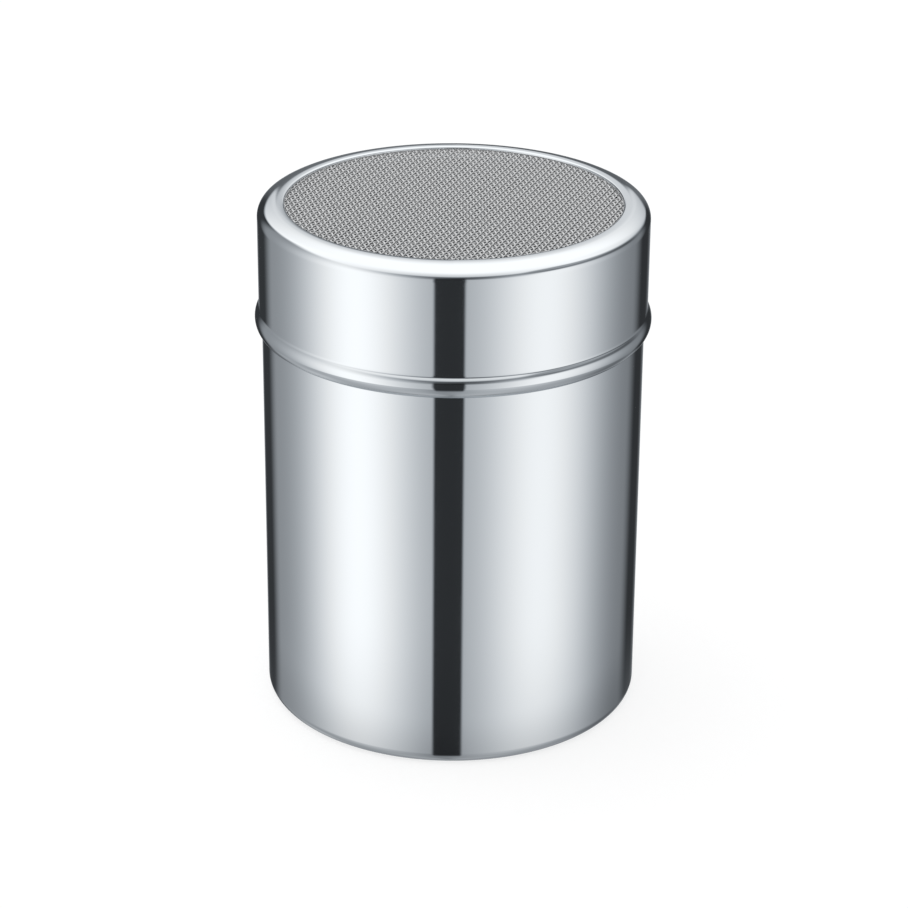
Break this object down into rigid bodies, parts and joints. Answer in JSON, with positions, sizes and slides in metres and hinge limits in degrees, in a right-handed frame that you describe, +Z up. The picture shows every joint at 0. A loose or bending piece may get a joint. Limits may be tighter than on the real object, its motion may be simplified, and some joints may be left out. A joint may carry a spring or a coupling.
{
  "type": "powder shaker",
  "caption": "Stainless steel powder shaker: a drawn canister with a push-on lid whose top is a disc of woven wire cloth held by a pressed-in ring.",
  "frame": {"origin": "on the axis, in the plane of the foot that the canister stands on", "axes": "+Z up along the axis of the canister and lid; X and Y are free, because canister, lid and ring are round"},
  "size_m": [0.0726, 0.0726, 0.0968],
  "materials": {
    "canister_steel": "mirror-polished stainless steel",
    "lid_steel": "mirror-polished stainless steel",
    "ring_steel": "plain mill-finish stainless sheet",
    "wire_steel": "bright drawn stainless wire"
  },
  "bodies": {
    "canister": {"canister": "canister_steel"},
    "lid": {"lid_shell": "lid_steel", "retaining_ring": "ring_steel", "warp_wires": "wire_steel", "weft_wires": "wire_steel"}
  },
  "joints": [
    {"name": "lid_lift", "type": "slide", "parent": "canister", "child": "lid", "axis": [0, 0, 1], "range_m": [0, 0.04]}
  ]
}
